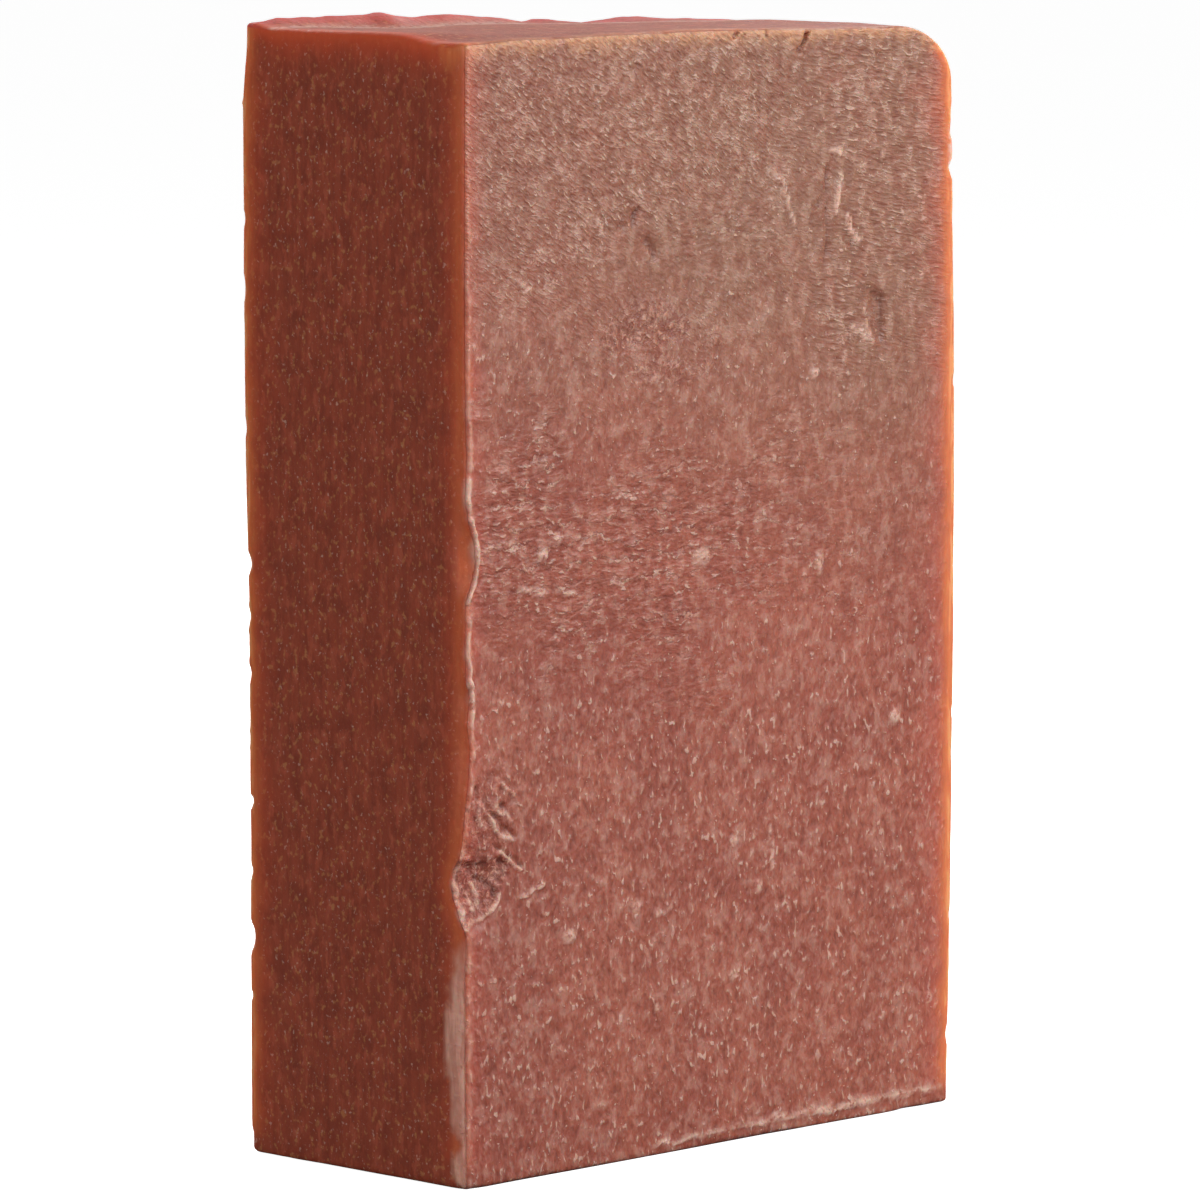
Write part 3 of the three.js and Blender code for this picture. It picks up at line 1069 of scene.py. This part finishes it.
def dark_marks_and_shade(n, soap):
    """The darker blotches of the clay, with painted shade in the grain's hollows, in small pits and
    below the tears.
    """
    blotches = n.band(soap.mottle, 0.51, 0.34, 0, 0.24)
    hollows = n.band(soap.grain, 0.44, 0.32, 0, 0.34)
    pits = n.band(soap.specks, 0.29, 0.23, 0, 0.5)
    shade = n.times(n.band(soap.ledge, 0.14, 0.0, 0, 0.6), n.share("drag"))
    return n.most(n.total(blotches, hollows), pits, shade)


def top_end_colour(n, soap):
    """The mauve of the top end, with lines along it where the wire went."""
    lines = n.noise(n.stretched(soap.place, 0, (0.035, 0.5, 1)), detail=4, roughness=0.65)
    colour_of_end = n.blend(n.band(lines, 0.47, 0.54), MAUVE, MAUVE_LINE)
    return n.blend(n.band(lines, 0.46, 0.38, 0, 0.6), colour_of_end, PALE)


def cut_colour(n, soap, flecks_and_glints):
    """The clay of the cut faces: cloudy, paler and tan higher up (partly bloom, partly painted sheen),
    with darker and lighter marks, partly the clay's own and partly painted shade and highlights on its
    grain.
    """
    cloud = n.noise(soap.place, 0.12, 3)
    base = n.blend(n.band(cloud, 0.36, 0.64), CLAY_DEEP, CLAY)
    # Partly bloom, partly painted sheen, over the upper part of the cut faces.
    bloom_sheen = n.times(n.share("bloom_sheen"), n.band(soap.patchy, 0.3, 0.6, 0.75, 1))
    base = n.blend(bloom_sheen, base, CLAY_BLOOM_SHEEN)
    base = n.blend(n.share("mauve"), base, top_end_colour(n, soap))
    # Painted shade in the grain's hollows and below the tears, and painted highlights on its crests,
    # over the clay's own blotches.
    base = n.blend(dark_marks_and_shade(n, soap), base, BROWN)
    return n.blend(light_marks_and_highlights(n, soap, flecks_and_glints), base, PALE)


def side_colour(n, soap):
    """The moulded sides keep their skin: faint upright lines, and grains of clay below it."""
    lines = n.noise(n.stretched(soap.place, 0, (2.0, 2.0, 0.14)), detail=3)
    smears = n.noise(n.stretched(soap.place, 0, (1.1, 1.1, 0.6)), detail=3, roughness=0.6)
    grains = n.noise(soap.place, 1.7, 2)
    dots = n.noise(soap.place, 2.9, 2)
    side = n.blend(n.band(lines, 0.56, 0.40, 0, 0.3), SIDE, SIDE_DARK)
    side = n.blend(n.band(soap.patchy, 0.55, 0.36, 0, 0.5), side, SIDE_DARK)
    side = n.blend(n.band(smears, 0.50, 0.68, 0, 0.8), side, SIDE_LIGHT)
    side = n.blend(n.band(grains, 0.56, 0.70, 0, 0.6), side, TAN)
    return n.blend(n.band(dots, 0.62, 0.74, 0, 0.5), side, PALE)


def add_edge_colours(n, soap, base, skin):
    """The base with painted light: the orange and red of light through the thin edges and the tan light
    along the top front rim, painted as colour; the pink ridge; and the scraped strip, painted paler
    where its bevel catches the key light.
    """
    # Painted glow: red further in from the thin edges, then orange and amber at them, standing in for
    # light through the soap.
    base = n.blend(n.times(n.share("red_glow"), 0.6), base, n.blend(skin, GLOW_RED, SIDE_GLOW_RED))
    glow = n.times(n.share("glow"), n.band(soap.streaks, 0.35, 0.6, 0.7, 1.0))
    base = n.blend(glow, base, GLOW_ORANGE)
    base = n.blend(n.band(glow, 0.72, 0.98, 0, 0.8), base, GLOW_AMBER)
    # Painted glow along the top front edge, broken by the grain.
    rim = n.times(n.share("rim"), n.band(soap.grain, 0.32, 0.62, 0.35, 0.75))
    base = n.blend(rim, base, RIM_GLOW)
    ridge = n.times(n.share("ridge"), n.band(soap.specks, 0.64, 0.56, 0.3, 0.9))
    base = n.blend(ridge, base, RIDGE_PINK)
    # The scraped strip is painted paler where its bevel faces the key light: painted sheen on the
    # scraped clay.
    scraped = n.times(n.share("scraped"), n.band(soap.streaks, 0.4, 0.6, 0.55, 0.95))
    return n.blend(scraped, base, SCRAPED_SHEEN)


def add_torn_colours(n, soap, base):
    """The base with darker and paler crumbs where the soap tore, painted shade in grooves, cracks and
    the sunken flap, and pale ridges, lumps and burr, partly pale soap and partly painted highlights.
    """
    torn = n.share("torn")
    # Painted shade between the crumbs and a painted highlight on them, over the pale crumbs of torn
    # clay.
    base = n.blend(n.times(torn, n.band(soap.crumbs, 0.54, 0.38, 0, 0.75)), base, TORN_SHADE)
    base = n.blend(n.times(torn, n.band(soap.crumbs, 0.53, 0.67, 0, 0.7)), base, TORN_CRUMBS_AND_HIGHLIGHT)
    # Painted shade in the grooves, cracks and the sunken flap.
    base = n.blend(n.times(n.share("groove_shade"), 0.6), base, BROWN)
    broken = n.band(n.noise(soap.place, 1.9, 3), 0.32, 0.54)
    # Pale ridges, lumps and burr: partly paler soap, partly painted highlights.
    pale = n.most(n.times(n.share("pale"), broken), n.share("burr"))
    return n.blend(n.times(pale, 0.8), base, PALE)


# How high each texture stands, in millimetres.
GRAIN_RELIEF, FLECK_RELIEF, MOTTLE_RELIEF, LEDGE_RELIEF, CRUMB_RELIEF = 0.18, 0.07, 0.12, 0.09, 0.24


def fine_relief(n, soap, flecks_and_glints):
    """The height of the textures. All but the crumbs die away on the edges with painted glow."""
    height = n.total(
        n.times(soap.grain, GRAIN_RELIEF),
        n.times(flecks_and_glints, FLECK_RELIEF),
        n.times(soap.mottle, MOTTLE_RELIEF),
        n.times(soap.ledge, n.share("drag"), LEDGE_RELIEF),
    )
    height = n.times(height, n.band(n.share("glow"), 0.2, 0.8, 1.0, 0.2))
    return n.total(height, n.times(soap.crumbs, n.share("torn"), CRUMB_RELIEF))


def soap_material():
    """The clay soap: its colour, its sheen, its fine relief and the light that soaks into it."""
    n = Nodes("clay_soap")
    soap = textures(n)
    flecks_and_glints = pale_flecks_and_glints(n, soap)
    skin = n.math("SUBTRACT", 1.0, soap.cut, clamp=True)
    base = n.blend(skin, cut_colour(n, soap, flecks_and_glints), side_colour(n, soap))
    base = add_edge_colours(n, soap, base, skin)
    n.put(n.shader.inputs["Base Color"], add_torn_colours(n, soap, base))
    n.put(n.shader.inputs["Roughness"], n.band(soap.grain, 0.35, 0.65, 0.56, 0.42))

    bump = n.add("ShaderNodeBump")
    bump.inputs["Strength"].default_value = 1.0
    bump.inputs["Distance"].default_value = MM
    n.put(bump.inputs["Height"], fine_relief(n, soap, flecks_and_glints))
    n.put(n.shader.inputs["Normal"], bump.outputs["Normal"])

    n.shader.inputs["IOR"].default_value = 1.47
    n.shader.inputs["Subsurface Weight"].default_value = 0.4
    n.shader.inputs["Subsurface Radius"].default_value = (1.0, 0.25, 0.1)
    n.shader.inputs["Subsurface Scale"].default_value = 1.5 * MM
    return n.material


# ---------------------------------------------------------------- the scene

bpy.context.scene.view_settings.view_transform = "Standard"
add_camera()
for softbox in SOFTBOXES:
    add_softbox(*softbox)
add_world()
add_floor()
build_bar(soap_material())
